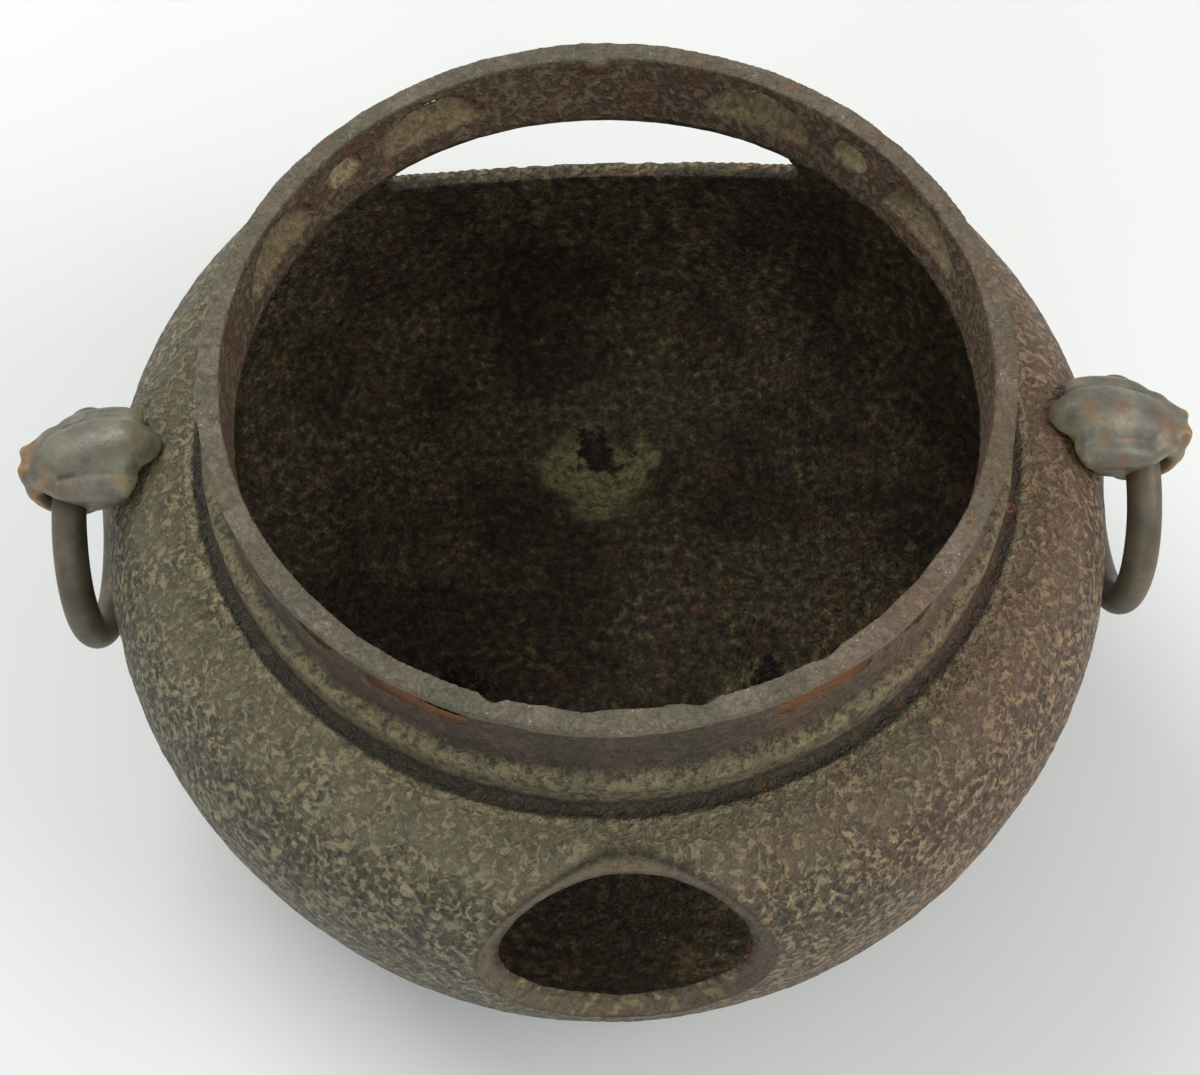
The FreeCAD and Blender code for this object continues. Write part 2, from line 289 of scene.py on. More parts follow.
def colour(red, green, blue):
    # screen values from 0 to 255 turned into the light values that the shader works in
    def light(value):
        share = value / 255
        return share / 12.92 if share <= 0.04045 else ((share + 0.055) / 1.055) ** 2.4
    return (light(red), light(green), light(blue), 1.0)


def newMaterial(name):
    material = bpy.data.materials.new(name)
    material.use_nodes = True
    tree = material.node_tree
    tree.nodes.clear()
    start = Shade(tree)
    place = start.node("ShaderNodeTexCoord", {}, {}, "Object")
    return material, start, place


def attributes(start, *names):
    return [start.node("ShaderNodeAttribute", {"attribute_name": name}, {}, "Fac") for name in names]


def finishMaterial(start, sockets):
    surface = start.node("ShaderNodeBsdfPrincipled", {}, sockets)
    end = start.tree.nodes.new("ShaderNodeOutputMaterial")
    start.tree.links.new(surface.socket, end.inputs["Surface"])


# Camera: where the photographer stood, behind the bowl and above it

view = {
    "lens": 60.0,
    "sensor": 36.0,
    "nearest": 0.01,
    "elevation": 56.0,
    "distance": 608.9 * mm,
    "azimuth": 88.0,
    "pan": -0.20,
    "tilt": -5.29,
    "roll": -0.15,
}


def turnedPair(first, second, degrees):
    # two axes at right angles, the first turned towards the second
    turn = math.radians(degrees)
    return (first * math.cos(turn) + second * math.sin(turn),
            second * math.cos(turn) - first * math.sin(turn))


def makeCamera():
    elevation = math.radians(view["elevation"])
    azimuth = math.radians(view["azimuth"])
    outward = Vector((math.cos(elevation) * math.cos(azimuth), math.cos(elevation) * math.sin(azimuth),
                      math.sin(elevation)))
    ahead = -outward
    right = ahead.cross(Vector((0, 0, 1))).normalized()
    up = right.cross(ahead)
    ahead, right = turnedPair(ahead, right, view["pan"])
    ahead, up = turnedPair(ahead, up, view["tilt"])
    right, up = turnedPair(right, up, view["roll"])
    place = Vector((0, 0, form["top"])) + outward * view["distance"]
    camera = bpy.data.objects.new("camera", bpy.data.cameras.new("camera"))
    camera.data.lens = view["lens"]
    camera.data.sensor_width = view["sensor"]
    camera.data.sensor_fit = "HORIZONTAL"
    camera.data.clip_start = view["nearest"]
    camera.matrix_world = Matrix.Translation(place) @ Matrix((right, up, -ahead)).transposed().to_4x4()
    scene.collection.objects.link(camera)
    scene.camera = camera


makeCamera()
print("camera placed")

# Furo body: the casting with its pebbled skin

bodyLook = {
    "voxel": 1.2 * mm,
    "smoothing": 1,
    "wearAndShadeRounds": 8,
    # how softly the inside's skin gives way to the outside's
    "insideEdge": 1.5 * mm,
    # relief in the mesh: slow waves, lumps and grain, by size and depth
    "waveSize": 34 * mm,
    "waveDepth": 0.9 * mm,
    "waveMiddle": 0.75,
    "lumpSize": 8 * mm,
    "lumpDepth": 0.6 * mm,
    "grainSize": 2.7 * mm,
    "grainDepth": 0.42 * mm,
    # the grain fades by these shares: on the bevel, inside, and between two depths below the top
    "grainLevels": 10,
    "bevelFade": 0.8,
    "insideFade": 0.5,
    "collarFade": (46 * mm, 43 * mm, 0.8),
    "shoulderFade": (62 * mm, 50 * mm, 0.55),
    # half-moons and ovals: groups, their azimuth, spread and reach in degrees, sills and outward climbs
    "groups": 4,
    "firstGroup": 45,
    "moonSpread": 17,
    "moonReach": 9.6,
    "moonSill": 22 * mm,
    "moonClimb": 9.5 * mm,
    "frontClimb": 13.2 * mm,
    "ovalReach": 4.2,
    "ovalSill": 17.75 * mm,
    "ovalClimb": 6.5 * mm,
    "sillDepth": 2 * mm,
    "sillInset": 0.2 * mm,
    "sillOutset": 1.1 * mm,
    "sillSteps": 13,
    # the sills' skin: how far it faces up, and the depths below the top that it lies between
    "sillUpward": (0.3, 0.6),
    "sillLowest": (23.5 * mm, 22.5 * mm),
    "sillHighest": (8 * mm, 9 * mm),
    # pits over the hollow feet
    "pitRadius": 24 * mm,
    "pitFlat": 7 * mm,
    "pitDepth": 8.5 * mm,
    "pitWall": 2.6 * mm,
    "pitHole": 0.3 * mm,
    "pitRings": 16,
    "pitSteps": 49,
    # draught window: half width, half height, depth of its middle, and its bevel, whose reach,
    # softness and line of painted shade are shares of the window's own size
    "draughtWidth": 38 * mm,
    "draughtHeight": 36 * mm,
    "draughtDrop": 89 * mm,
    "bevelReach": 0.2,
    "bevelSoftness": 0.03,
    "outlineWidth": 0.022,
    "bevelHollow": 1.2 * mm,
    "bevelBack": (60 * mm, 80 * mm),
    # chips, dents and scars, in metres: place, radius, depth and the way the metal is pushed
    "dents": [((0.036, 0.1135, 0.2245), 0.005, 0.0022, (0.3, 0.95, -0.1)),
              ((-0.058, 0.104, 0.2245), 0.007, 0.0014, (-0.4, 0.9, -0.3)),
              ((0.012, 0.1165, 0.2245), 0.009, 0.0010, (0, 0.9, -0.3)),
              ((-0.022, 0.1155, 0.2245), 0.006, 0.0014, (-0.2, 0.9, -0.4)),
              ((-0.001, -0.1175, 0.2215), 0.006, 0.0026, (0, 1, 0.15)),
              ((-0.096, 0.126, 0.118), 0.003, 0.0020, (0.6, -0.8, 0))],
}


def outerRadius(z):
    # radius of the casting's outside at each height below the crest
    shoulder = np.clip((z - form["equator"]) / (form["top"] - form["crestDrop"] - form["equator"]), 0, 1)
    upper = form["crestRadius"] + (form["bellyRadius"] - form["crestRadius"]) * np.sqrt(1 - shoulder ** 2)
    drop = np.clip(form["equator"] - z, 0, form["sideArc"])
    lower = form["bellyRadius"] - form["sideArc"] + np.sqrt(form["sideArc"] ** 2 - drop ** 2)
    return np.where(z > form["equator"], upper, lower)


def sweptMesh(profile, steps, place):
    # a closed outline of (radius, height) carried round a place, through these steps of azimuth
    closed = steps[-1] - steps[0] == 360
    rows = steps[:-1] if closed else steps
    corners = []
    for azimuth in rows:
        across, along = math.cos(math.radians(azimuth)), math.sin(math.radians(azimuth))
        for radius, height in profile:
            corners.append((place[0] + radius * across, place[1] + radius * along, height))
    size = len(profile)
    faces = []
    for row in range(len(rows) if closed else len(rows) - 1):
        after = (row + 1) % len(rows)
        for i in range(size):
            j = (i + 1) % size
            faces.append((row * size + i, after * size + i, after * size + j, row * size + j))
    if not closed:
        faces.append(tuple(range(size)))
        faces.append(tuple(reversed(range((len(rows) - 1) * size, len(rows) * size))))
    mesh = bpy.data.meshes.new("swept")
    mesh.from_pydata(corners, [], faces)
    mesh.update()
    return mesh


def slopedSill(azimuth, reach, sill, climb):
    # the sill of an opening in the collar, which climbs outwards and leaves a narrow slit outside
    low = form["top"] - sill
    foot = low - bodyLook["sillDepth"]
    inner = form["collarRadius"] + bodyLook["sillInset"]
    outer = form["rimRadius"] - bodyLook["sillOutset"]
    profile = [(inner, foot), (inner, low), (outer, low + climb), (outer, foot)]
    steps = np.linspace(azimuth - reach, azimuth + reach, bodyLook["sillSteps"])
    return sweptMesh(profile, steps, (0, 0))


def footPlace(azimuth):
    turn = math.radians(azimuth)
    return form["footCircle"] * math.cos(turn), form["footCircle"] * math.sin(turn)


def pitShell(azimuth):
    # a dish that sags through the floor into the hollow foot
    radii = np.linspace(bodyLook["pitHole"], bodyLook["pitRadius"], bodyLook["pitRings"])
    floor = form["bottom"] + form["wall"]
    heights = floor - bodyLook["pitDepth"] * (1 - ease(radii, bodyLook["pitFlat"], bodyLook["pitRadius"]))
    profile = list(zip(radii, heights)) + list(zip(radii[::-1], heights[::-1] - bodyLook["pitWall"]))
    return sweptMesh(profile, np.linspace(0, 360, bodyLook["pitSteps"]), footPlace(azimuth))


def bodyParts():
    # the solid's own mesh, with what is grown onto it before it becomes one skin
    meshes = [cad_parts["furo_body"].data]
    for group in range(bodyLook["groups"]):
        middle = bodyLook["firstGroup"] + group * 360 / bodyLook["groups"]
        moonClimb = bodyLook["frontClimb"] if middle > 180 else bodyLook["moonClimb"]
        meshes.append(slopedSill(middle, bodyLook["ovalReach"], bodyLook["ovalSill"],
                                 bodyLook["ovalClimb"]))
        for side in (-1, 1):
            meshes.append(slopedSill(middle + side * bodyLook["moonSpread"], bodyLook["moonReach"],
                                     bodyLook["moonSill"], moonClimb))
    for azimuth in form["footAzimuths"].values():
        meshes.append(pitShell(azimuth))
    return joined("furoBody", meshes)


def insideShare(mesh):
    # 1 on the casting's inner skin and 0 on its outer one
    x, y, z = points(mesh).T
    radius = np.hypot(x, y)
    collarMiddle = (form["collarRadius"] + form["rimRadius"]) / 2 + 1 * mm
    middle = np.where(z > form["top"] - form["crestDrop"] - 2 * mm, collarMiddle,
                      outerRadius(z) - form["wall"] / 2)
    inside = ease(middle - radius, -bodyLook["insideEdge"], bodyLook["insideEdge"])
    inside = inside * ease(z, form["bottom"] - 4 * mm, form["bottom"] - 2 * mm)
    facesDown = normals(mesh)[:, 2] < 0
    under = (radius < form["footCircle"] * 2) & (z < form["bottom"] + form["wall"] / 2) & facesDown
    return np.where(under, 0, inside)


def sillShare(mesh):
    # the sills are the only skin of the collar that faces up between these depths
    z = points(mesh)[:, 2]
    return (ease(normals(mesh)[:, 2], *bodyLook["sillUpward"]) * fromTop(z, bodyLook["sillLowest"])
            * fromTop(z, bodyLook["sillHighest"]))


def draughtBevel(mesh, inside):
    # marks the draught window's bevel and a line of painted shade round its outer edge, and hollows the
    # bevel a little
    places = points(mesh)
    x, y, z = places.T
    windowHeight = form["top"] - bodyLook["draughtDrop"]
    oval = np.hypot(x / bodyLook["draughtWidth"], (z - windowHeight) / bodyLook["draughtHeight"])
    back = ease(y, *bodyLook["bevelBack"])
    edge = 1 + bodyLook["bevelReach"]
    bevel = back * (1 - ease(oval, edge - bodyLook["bevelSoftness"], edge + 0.01))
    outline = back * np.exp(-((oval - edge - 0.005) / bodyLook["outlineWidth"]) ** 2)
    share = np.clip((oval - 1) / bodyLook["bevelReach"], 0, 1)
    places[:, 1] -= bodyLook["bevelHollow"] * np.sin(share * math.pi) * back * (1 - inside)
    setPoints(mesh, places)
    return bevel, outline


def addSkinRelief(piece, inside, bevel):
    # waves and lumps all over, and grain that fades towards the crest, the collar and the bevel
    z = points(piece.data)[:, 2]

    def left(name):
        first, last, share = bodyLook[name]
        return 1 - share * fromTop(z, (first, last))

    grainy = left("collarFade") * (1 - bodyLook["bevelFade"] * bevel)
    grainy = grainy * (1 - bodyLook["insideFade"] * inside) * left("shoulderFade")
    skin = piece.vertex_groups.new(name="skin")
    levels = bodyLook["grainLevels"]
    for level in range(levels + 1):
        chosen = np.nonzero(np.round(grainy * levels).astype(int) == level)[0]
        if len(chosen):
            skin.add(chosen.tolist(), level / levels, "REPLACE")
    displace(piece, bodyLook["waveSize"], bodyLook["waveDepth"], bodyLook["waveMiddle"])
    displace(piece, bodyLook["lumpSize"], bodyLook["lumpDepth"])
    grain = displace(piece, bodyLook["grainSize"], bodyLook["grainDepth"], 1.0, 2)
    grain.vertex_group = "skin"
    applyModifiers(piece)


def addDents(mesh):
    places = points(mesh)
    for place, radius, depth, way in bodyLook["dents"]:
        away = np.linalg.norm(places - np.array(place), axis=1)
        places += (depth * (1 - ease(away, 0, radius)))[:, None] * np.array(way)
    setPoints(mesh, places)


def makeBody():
    piece = newPiece("furoBody", bodyParts(), "brazier", "furo_body")
    piece.data.materials.clear()
    voxelSkin(piece, bodyLook["voxel"], bodyLook["smoothing"])
    inside = insideShare(piece.data)
    sill = sillShare(piece.data)
    bevel, outline = draughtBevel(piece.data, inside)
    addSkinRelief(piece, inside, bevel)
    mesh = piece.data
    addDents(mesh)
    for name, values in (("inside", inside), ("sill", sill), ("bevel", bevel), ("outline", outline)):
        storeValue(mesh, name, values)
    addWearAndCreaseShade(mesh, bodyLook["wearAndShadeRounds"])
    shadeSmooth(mesh)
    mesh.materials.append(pebbledIron())
    return piece


# Colours of the casting, as (left of the camera's view, right of it)
ironColours = {
    "pit": ((36, 37, 27), (60, 43, 31)),
    "skin": ((88, 82, 61), (104, 81, 61)),
    "grain": ((142, 132, 99), (154, 125, 95)),
    "green": ((98, 104, 87), (100, 92, 78)),
    "shoulder": ((106, 99, 75), (106, 86, 68)),
    # low: painted shade on the lower belly
    "low": ((78, 66, 50), (84, 66, 50)),
    # collar: its own red-brown to tan, darkened with painted shade under the rim's overhang
    "collar": ((58, 50, 38), (104, 82, 66)),
    "band": ((104, 98, 74), (112, 92, 70)),
    # groove: painted shade in the groove between band and crest
    "groove": ((38, 34, 24), (62, 46, 36)),
    "rim": ((96, 90, 74), (96, 80, 63)),
    "bevel": ((98, 84, 66), (70, 56, 42)),
}


# Where one finish gives way to the next: none of it at the first figure and all of it at the
# second, in millimetres below the top, or from the axis
ironDepths = {
    "rim": (2.6, 1.0),
    "lip": (7, 4.5),
    "collar": (30, 28),
    "step": (46, 44),
    "stepLow": (37, 33),
    "stepHigh": (28.5, 30),
    "grooveLow": (48, 46),
    "grooveHigh": (39.5, 43),
    "crest": (47, 45.6),
    "shoulder": (64, 50),
    # where the painted shade of the lower belly begins and where it is full
    "shadedUnderside": (110, 150),
    "boldLow": (125, 85),
    "boldHigh": (52, 62),
}
ironRadii = {
    "step": (132, 130.5),
    "groove": (134.2, 133),
    "crestInner": (132.6, 133.6),
    "crestOuter": (136.2, 135.2),
}
# Pits over the feet: how much painted shade and pale residue each holds, and the soft edges of both
pitLook = {
    "shares": {"front": (0.55, 0.95), "right": (0.85, 0.15), "left": (0.75, 0.75)},
    "ground": (60 * mm, 45 * mm),
    "pitShade": (20 * mm, 6 * mm),
    "residueOuter": (23 * mm, 17 * mm),
    "residueInner": (6 * mm, 12 * mm),
}


def pebbledIron():
    material, start, place = newMaterial("pebbledIron")
    parts = start.node("ShaderNodeSeparateXYZ", {}, {0: place})
    x, y, z = (parts.output(axis) for axis in "XYZ")
    inside, wear, sill, bevel, outline = attributes(start, "inside", "wear", "sill", "bevel", "outline")
    radius = place.stretched(1, 1, 0).length()
    top = form["top"]

    # relief: irregular grains and worm-like ridges, longer down the slope, with fine ones between them
    drawn = place.stretched(1, 1, 0.8).warped(170, 0.0045)
    coarse = drawn.noise(380, 4.0, 0.62)
    network = (1 - (drawn.shifted(3, 3, 3).noise(320, 2.0, 0.55) * 2 - 1).size() * 3.4).most(0)
    fine = place.noise(800, 3.0, 0.65)
    relief = coarse.rise(0.41, 0.60) * 0.62 + network * 0.30 + (fine - 0.5) * 0.55
    broad = place.noise(20, 3.0, 0.55)
    patch = place.shifted(3, 1, 2).noise(60, 3.0, 0.6)
    hue = drawn.shifted(9, 2, 5).noise(170, 2.0, 0.5)
    warm = (x * -6.5 + broad * 1.6 - 0.75).rise(-0.1, 1.0)

    def tone(name):
        left, right = ironColours[name]
        return warm.between(colour(*left), colour(*right))

    def below(name):
        none, full = ironDepths[name]
        return z.rise(top - none * mm, top - full * mm)

    def around(name):
        none, full = ironRadii[name]
        return radius.rise(none * mm, full * mm)

    # bands of the casting, from the rim down
    rim = below("rim")
    lip = below("lip") * (1 - rim)
    collar = below("collar") * (1 - rim)
    band = below("step") * (1 - collar) * (1 - rim) * around("step")
    bandEdge = below("stepLow") * below("stepHigh")
    groove = around("groove") * below("grooveHigh") * below("grooveLow")
    crest = around("crestInner") * around("crestOuter") * below("crest")
    shoulder = below("shoulder") * (1 - collar) * (1 - rim)
    low = below("shadedUnderside")
    bold = below("boldHigh") * below("boldLow") * patch.rise(0.30, 0.55)

    # outside of the belly: dark pits, skin and pale grains, with grey-green ones among them
    # painted shade: the lower belly turns darker and browner, with fewer pale grains, towards the
    # underside
    skin = tone("skin").towards(tone("low"), low * 0.8)
    outside = tone("pit").towards(skin, relief.rise(0.04, 0.36) * (1 - bold * 0.25))
    outside = outside.towards(tone("grain"), relief.rise(0.42, 0.85) * (0.85 - low * 0.4))
    outside = outside.towards(tone("green"), hue.rise(0.53, 0.62) * relief.rise(0.15, 0.45) * 0.5)
    ridges = network.rise(0.72, 0.98) * relief.rise(0.35, 0.6) * (warm * 0.45 + 0.25)
    outside = outside.towards(colour(168, 144, 96), ridges)
    outside = outside.towards(tone("shoulder"), shoulder * patch.rise(0.25, 0.6) * 0.6)
    outside = outside.towards(colour(150, 130, 96), wear.rise(0.06, 0.4) * 0.35)
    # painted shade: darker where the skin lies below its smoothed surface, in creases and hollows
    outside = outside.towards(colour(40, 36, 26), wear.rise(-0.06, -0.4) * 0.55)

    # band, painted shade in the groove, and crest
    mottle = place.noise(330, 3.0, 0.65)
    bandSkin = tone("band").towards(colour(54, 45, 32), mottle.rise(0.50, 0.60) * 0.8)
    ragged = bandEdge * patch.rise(0.35, 0.55) * mottle.rise(0.56, 0.44) * 0.8
    bandSkin = bandSkin.towards(colour(132, 118, 84), ragged)
    outside = outside.towards(bandSkin, band * 0.85)
    # painted shade: the groove darkened
    outside = outside.towards(tone("groove"), groove * 0.8)
    outside = outside.towards(colour(156, 146, 112), crest * mottle.rise(0.40, 0.58) * 0.55)

    # collar, lip and rim; the collar is partly its own red-brown and tan and partly painted shade under
    # the rim's overhang
    collarSkinAndShade = tone("collar").towards(colour(88, 62, 50), patch.rise(0.45, 0.62) * 0.6)
    collarSkinAndShade = collarSkinAndShade.towards(colour(44, 36, 27), mottle.rise(0.50, 0.62) * 0.7)
    outside = outside.towards(collarSkinAndShade, collar * (1 - lip) * 0.9)
    rimSkin = tone("rim").towards(colour(126, 112, 98), patch.rise(0.48, 0.66) * 0.7)
    olive = place.shifted(4, 4, 0).noise(48, 3.0, 0.6)
    rimSkin = rimSkin.towards(colour(82, 84, 66), olive.rise(0.52, 0.66) * 0.6)
    rimSkin = rimSkin.towards(colour(64, 54, 42), mottle.rise(0.54, 0.66) * 0.6)
    outside = outside.towards(rimSkin, (rim + lip * 0.8).least(1) * 0.92)

    # rust blooms, red specks and painted glints: white highlight specks, strongest on the rim
    bloom = place.shifted(1, 4, 0).noise(85, 4.0, 0.65)
    rust = bloom.rise(0.60, 0.70) * relief.rise(0.2, 0.7)
    outside = outside.towards(colour(142, 88, 50), rust * (0.25 + warm * 0.45))
    redSpeck = place.shifted(6, 1, 1).noise(520, 2.0, 0.6).rise(0.66, 0.72) * bloom.rise(0.50, 0.60)
    outside = outside.towards(colour(136, 70, 44), redSpeck * 0.8)
    paintedGlint = place.shifted(7, 0, 0).cells(430).rise(0.15, 0.06) * patch.rise(0.48, 0.62)
    outside = outside.towards(colour(206, 206, 196), paintedGlint * (rim * 0.7 + 0.15))

    # openings: climbing sills, rust-orange on the near side and olive-tan on the far one
    near = y.rise(-20 * mm, 20 * mm)
    sillSkin = near.between(colour(150, 136, 98), colour(124, 80, 48))
    sillSkin = sillSkin.towards(colour(92, 80, 54), mottle.rise(0.46, 0.62) * 0.75)
    jamb = tone("bevel").towards(colour(48, 40, 30), mottle.rise(0.52, 0.66) * 0.7)
    jamb = jamb.towards(colour(140, 130, 84), z.rise(112 * mm, 100 * mm) * hue.rise(0.5, 0.62) * 0.75)
    outside = outside.towards(jamb, bevel * 0.9)
    # painted shade: a dark line round the bevel's outer edge
    outside = outside.times(colour(88, 84, 76), outline * 0.85)

    # inside: soot-dark, with olive and rust flecks
    flecks = place.shifted(2, 2, 5).noise(260, 4.0, 0.7)
    within = flecks.ramp([(0.34, colour(44, 37, 28)), (0.49, colour(80, 68, 50)),
                          (0.59, colour(108, 95, 66)), (0.69, colour(146, 134, 90))])
    clean = place.shifted(8, 3, 1).noise(14, 3.0, 0.6)
    within = within.times(colour(128, 118, 108), clean.rise(0.58, 0.44) * 0.7)
    rusty = place.shifted(5, 0, 1).noise(75, 4.0, 0.75)
    within = within.towards(colour(112, 64, 36), rusty.rise(0.58, 0.68) * 0.6)
    orange = place.shifted(5, 7, 1).noise(95, 3.0, 0.7)
    within = within.towards(colour(168, 106, 52), orange.rise(0.68, 0.73) * 0.75)
    ashen = place.shifted(1, 7, 4).noise(40, 3.0, 0.7)
    within = within.towards(colour(128, 122, 86), ashen.rise(0.60, 0.70) * flecks.rise(0.45, 0.6) * 0.6)
    wallSkin = coarse.rise(0.40, 0.62).between(colour(72, 58, 45), colour(116, 98, 78))
    wallSkin = wallSkin.towards(colour(96, 62, 46), bloom.rise(0.50, 0.62) * 0.6)
    within = within.towards(wallSkin, collar * 0.95)

    # pits over the feet: painted shade towards the far side of each hollow, with pale residue along the
    # near side of two of them
    ground = z.rise(*pitLook["ground"])
    ragged = (patch - 0.5) * 0.03 + (flecks - 0.5) * 0.015
    pale = flecks.rise(0.42, 0.56).between(colour(122, 114, 78), colour(176, 168, 120))
    for side, (pitShade, chalk) in pitLook["shares"].items():
        pitX, pitY = footPlace(form["footAzimuths"][side])
        away = place.shifted(-pitX, -pitY, 0).stretched(1, 1, 0)
        pitShadeMask = (away.shifted(0, 5 * mm, 0).length() + ragged).rise(*pitLook["pitShade"]) * ground
        # painted shade in the pit, darker towards its far side
        within = within.times(colour(70, 62, 52), pitShadeMask * pitShade)
        outer = (away.shifted(0, -2 * mm, 0).length() + ragged).rise(*pitLook["residueOuter"])
        inner = (away.shifted(2 * mm, 9 * mm, 0).length() + ragged).rise(*pitLook["residueInner"])
        within = within.towards(pale, outer * ground * inner * chalk)

    base = outside.towards(within, inside * (1 - rim))
    base = base.towards(sillSkin, sill * 0.9)
    gloss = 0.60 - relief * 0.12 + inside * 0.14 - rim * 0.08
    quiet = (1 - (collar + rim).least(1) * 0.45) * (1 - bevel * 0.6) * (1 - shoulder * 0.35)
    height = relief * quiet + fine * 0.2
    bump = start.node("ShaderNodeBump", {}, {"Strength": 1.0, "Distance": 1.7 * mm, "Height": height})
    finishMaterial(start, {"Base Color": base, "Roughness": gloss, "Normal": bump,
                           "Specular IOR Level": 0.4})
    return material


furoBody = makeBody()
print("body made,", len(furoBody.data.polygons), "faces")

# Lugs: a beast head on each shoulder, its snout closed round the ring

lugLook = {
    "voxel": 0.7 * mm,
    "smoothing": 6,
    "finalSmoothing": 2,
    "wearAndShadeRounds": 14,
    # furrows pressed into the head: points from the hinge line in millimetres, width and depth
    "furrows": [([(-30, 8.2, 12), (-18, 8.6, 15), (-6, 8.2, 14), (6, 6.4, 10)], 3.0, 2.4),
                ([(-30, -8.2, 12), (-18, -8.6, 15), (-6, -8.2, 14), (6, -6.4, 10)], 3.0, 2.4),
                ([(9, -8, 8), (10.5, 0, 13), (9, 8, 8)], 1.9, 0.9)],
    # ridges raised on it: the lip along each side and the wrinkles over the nose
    "ridges": [([(-8, 14, -3), (2, 13.5, -2), (10, 11, 1), (15, 6, 4)], 2.2, 1.0),
               ([(-8, -14, -3), (2, -13.5, -2), (10, -11, 1), (15, -6, 4)], 2.2, 1.0),
               ([(13, -6, 9), (14.5, 0, 11), (13, 6, 9)], 1.6, 0.8)],
    # the crown over the mouth is this much wider and higher, from its back forwards
    "crownStart": 3 * mm,
    "crownFull": 11 * mm,
    "crownWidth": 0.26,
    "crownRise": 2.2 * mm,
    "crownBack": (-34 * mm, -22 * mm),
    "pockSize": 5 * mm,
    "pockDepth": 0.35 * mm,
}


def pressLine(mesh, line, width, depth):
    # move the skin in or out near a line through points given in millimetres from the hinge line
    places = points(mesh)
    hinge = np.array((form["hingeX"], 0, form["hingeZ"]))
    corners = [hinge + np.array(corner) * mm for corner in line]
    nearest = np.full(len(places), 1.0)
    for a, b in zip(corners, corners[1:]):
        along = np.clip(((places - a) @ (b - a)) / ((b - a) @ (b - a)), 0, 1)
        nearest = np.minimum(nearest, np.linalg.norm(places - a - along[:, None] * (b - a), axis=1))
    amount = np.exp(-(nearest / (width * mm)) ** 2) * depth * mm
    setPoints(mesh, places + normals(mesh) * amount[:, None])


def raiseCrown(mesh):
    places = points(mesh)
    share = ease(places[:, 2] - form["hingeZ"], lugLook["crownStart"], lugLook["crownFull"])
    share = share * ease(places[:, 0] - form["hingeX"], *lugLook["crownBack"])
    places[:, 1] *= 1 + lugLook["crownWidth"] * share
    places[:, 2] += lugLook["crownRise"] * share
    setPoints(mesh, places)


def makeLugs():
    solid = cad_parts["lug_right"].data.copy()
    lug = newPiece("lugRight", solid, "brazier", "lug_right")
    lug.data.materials.clear()
    voxelSkin(lug, lugLook["voxel"], lugLook["smoothing"])
    raiseCrown(lug.data)
    displace(lug, lugLook["pockSize"], lugLook["pockDepth"])
    applyModifiers(lug)
    for line, width, depth in lugLook["furrows"]:
        pressLine(lug.data, line, width, -depth)
    for line, width, depth in lugLook["ridges"]:
        pressLine(lug.data, line, width, depth)
    voxelSkin(lug, lugLook["voxel"], lugLook["finalSmoothing"])
    addWearAndCreaseShade(lug.data, lugLook["wearAndShadeRounds"])
    shadeSmooth(lug.data)
    lug.data.materials.append(lugBronze("lugBronze", 0))
    other = newPiece("lugLeft", lug.data.copy(), "brazier", "lug_left")
    other.data.transform(Matrix.Rotation(math.pi, 4, "Z"))
    other.data.materials[0] = lugBronze("lugBronzeBrown", 1)


def lugBronze(name, brown):
    # brown is 0 for the greyer lug and 1 for the browner one
    material, start, place = newMaterial(name)
    wear, = attributes(start, "wear")
    radius = place.stretched(1, 1, 0).length()
    z = place.node("ShaderNodeSeparateXYZ", {}, {0: place}).output("Z")
    cloud = place.noise(75, 4.0, 0.6)
    patch = place.shifted(2, 6, 1).noise(130, 3.0, 0.6)
    grain = place.noise(620, 3.0, 0.65)
    base = cloud.ramp([(0.32, colour(74, 74, 66)), (0.50, colour(98, 97, 86)),
                       (0.68, colour(122, 118, 98))])
    base = base.towards(colour(112, 84, 66), patch.rise(0.50, 0.64) * (0.45 + brown * 0.4))
    nose = radius.rise(form["hingeX"] - 2 * mm, form["hingeX"] + 12 * mm)
    base = base.towards(colour(116, 92, 56), nose * patch.rise(0.42, 0.60) * 0.7)
    base = base.towards(colour(158, 122, 74), wear.rise(0.12, 0.5) * (0.15 + nose * 0.45))
    # painted shade in the creases and hollows of the head
    base = base.towards(colour(34, 31, 25), wear.rise(-0.08, -0.45) * 0.85)
    root = (radius.rise(form["hingeX"] - 14 * mm, form["hingeX"] - 22 * mm)
            * z.rise(form["hingeZ"] + 30 * mm, form["hingeZ"]))
    base = base.towards(colour(166, 160, 112), root * patch.rise(0.40, 0.56) * 0.8)
    base = base.towards(colour(60, 52, 42), grain.rise(0.58, 0.70) * 0.4)
    gloss = 0.34 + grain * 0.2 + root * 0.2
    bump = start.node("ShaderNodeBump", {},
                      {"Strength": 0.45, "Distance": 0.4 * mm, "Height": grain + cloud})
    finishMaterial(start, {"Base Color": base, "Roughness": gloss, "Metallic": 0.2, "Normal": bump})
    return material


makeLugs()
print("lugs made")

# Rings

ringLook = {"around": 160, "across": 40, "unevenness": 0.025}


def ringIron():
    material, start, place = newMaterial("ringIron")
    cloud = place.noise(60, 4.0, 0.6)
    grain = place.noise(900, 3.0, 0.6)
    rusty = place.shifted(4, 0, 0).noise(45, 4, 0.7)
    base = cloud.ramp([(0.3, colour(58, 54, 42)), (0.5, colour(84, 78, 62)), (0.7, colour(108, 98, 78))])
    base = base.towards(colour(120, 84, 54), rusty.rise(0.58, 0.7) * 0.5)
    bump = start.node("ShaderNodeBump", {},
                      {"Strength": 0.3, "Distance": 0.3 * mm, "Height": grain + cloud})
    finishMaterial(start, {"Base Color": base, "Roughness": 0.42 + grain * 0.2, "Metallic": 0.2,
                           "Normal": bump})
    return material


def ringThickness(turn):
    # a hand-forged bar: a little thinner than its full wire, by a share that wanders round the ring
    return 1 - ringLook["unevenness"] * (0.5 + 0.3 * math.sin(3 * turn + 1) + 0.2 * math.sin(7 * turn))


